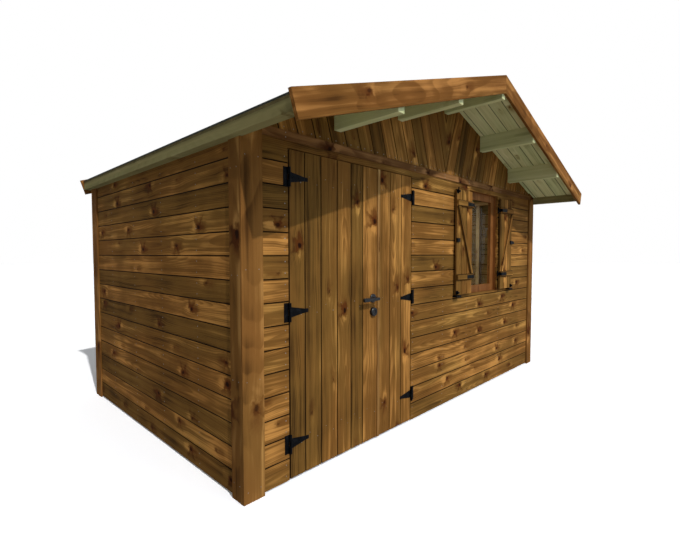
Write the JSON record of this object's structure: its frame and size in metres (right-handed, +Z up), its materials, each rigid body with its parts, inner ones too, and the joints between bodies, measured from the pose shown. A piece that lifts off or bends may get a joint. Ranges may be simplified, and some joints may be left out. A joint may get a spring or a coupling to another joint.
{
  "type": "garden shed",
  "caption": "Timber garden shed with a shallow gabled roof carried over the front, unequal double doors on strap hinges, and a window with hinged ledged shutters.",
  "frame": {"origin": "ground level under the middle of the roof's outline", "axes": "+X along the front wall to the right when facing it, +Y from the front wall to the back wall, +Z up"},
  "size_m": [4.144, 3.035, 2.6411],
  "materials": {
    "stained_wood": "satin",
    "trim_wood": "satin",
    "green_wood": "matte",
    "raw_wood": "matte",
    "window_wood": "satin",
    "glass": "clear",
    "black_metal": "satin",
    "felt": "mineral",
    "alloy": "satin"
  },
  "bodies": {
    "shed": {"back_gable": "stained_wood", "back_wall": "stained_wood", "door_hinge_plates": "black_metal", "eave_purlins": "green_wood", "end_corner_boards": "trim_wood", "end_plates": "raw_wood", "end_studs": "raw_wood", "floor_bearers": "raw_wood", "floor_deck": "raw_wood", "front_gable": "stained_wood", "front_wall_below_window": "stained_wood", "front_wall_head": "stained_wood", "front_wall_left": "stained_wood", "front_wall_middle": "stained_wood", "front_wall_right": "stained_wood", "gable_bands": "trim_wood", "left_bargeboards": "trim_wood", "left_roof_boards": "green_wood", "left_wall": "stained_wood", "purlins": "green_wood", "right_bargeboards": "trim_wood", "right_roof_boards": "green_wood", "right_wall": "stained_wood", "roof_felt": "felt", "shutter_keepers": "black_metal", "shutter_pintles": "black_metal", "side_corner_boards": "trim_wood", "side_plates": "raw_wood", "side_studs": "raw_wood", "window_catch": "alloy", "window_frame": "window_wood", "window_glass": "glass", "window_sash": "window_wood"},
    "left_door": {"left_door_boards": "stained_wood", "left_door_ledges": "stained_wood", "left_door_straps": "black_metal", "lock_roses": "black_metal", "meeting_strip": "trim_wood"},
    "right_door": {"right_door_boards": "stained_wood", "right_door_ledges": "stained_wood", "right_door_straps": "black_metal"},
    "lever": {"lever_handle": "black_metal"},
    "left_shutter": {"left_shutter_boards": "trim_wood", "left_shutter_bolts": "black_metal", "left_shutter_ledges": "trim_wood", "left_shutter_straps": "black_metal"},
    "right_shutter": {"right_shutter_boards": "trim_wood", "right_shutter_bolts": "black_metal", "right_shutter_ledges": "trim_wood", "right_shutter_straps": "black_metal"}
  },
  "joints": [
    {"name": "left_door_hinge", "type": "hinge", "parent": "shed", "child": "left_door", "pos_m": [-1.688, -1.0295, 0.972], "axis": [0, 0, -1], "range_deg": [0, 110]},
    {"name": "right_door_hinge", "type": "hinge", "parent": "shed", "child": "right_door", "pos_m": [-0.5, -1.0295, 0.972], "axis": [0, 0, 1], "range_deg": [0, 165]},
    {"name": "lever_turn", "type": "hinge", "parent": "left_door", "child": "lever", "pos_m": [-0.961, -1.0165, 0.996], "axis": [0, -1, 0], "range_deg": [0, 40], "stiffness_Nm_per_rad": 0.6},
    {"name": "left_shutter_hinge", "type": "hinge", "parent": "shed", "child": "left_shutter", "pos_m": [0.435, -1.0265, 1.401], "axis": [0, 0, 1], "range_deg": [0, 178]},
    {"name": "right_shutter_hinge", "type": "hinge", "parent": "shed", "child": "right_shutter", "pos_m": [1.034, -1.0265, 1.401], "axis": [0, 0, -1], "range_deg": [0, 178]}
  ]
}
